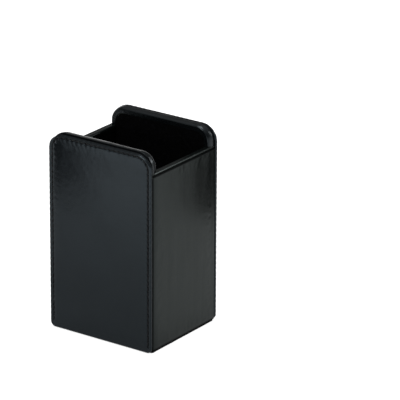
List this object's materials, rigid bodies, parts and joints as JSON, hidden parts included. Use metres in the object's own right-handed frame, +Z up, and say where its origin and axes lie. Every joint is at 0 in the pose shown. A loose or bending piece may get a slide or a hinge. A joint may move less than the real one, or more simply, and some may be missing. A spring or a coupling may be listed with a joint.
{
  "type": "pen holder cup",
  "caption": "Upright leather-covered pen holder: tall front and back walls with rounded top corners and stitched panels, lower side walls, lined inside, felt underneath.",
  "frame": {"origin": "centre of the underside, at the bottom of the bounding box", "axes": "+Z up through the open mouth; the front tall wall faces -Y and the back one +Y; the low walls face -X and +X"},
  "size_m": [0.078, 0.0706, 0.13],
  "materials": {
    "leather": "smooth black leather with a soft polish",
    "thread": "waxed black thread",
    "lining": "matt black suede-like lining",
    "felt": "matt black pressed felt",
    "core_board": "grey-brown bookbinder's board",
    "card": "thin stiffening card"
  },
  "bodies": {
    "root": {"front_face_leather": "leather", "front_stitching": "thread", "front_face_stiffener": "card", "front_edge_wrap": "leather", "front_core_board": "core_board", "front_lining": "lining", "back_face_leather": "leather", "back_stitching": "thread", "back_face_stiffener": "card", "back_edge_wrap": "leather", "back_core_board": "core_board", "back_lining": "lining", "left_leather_panel": "leather", "left_core_board": "core_board", "left_lining": "lining", "right_leather_panel": "leather", "right_core_board": "core_board", "right_lining": "lining", "base_board": "core_board", "floor_lining": "lining", "base_felt": "felt"}
  },
  "joints": []
}
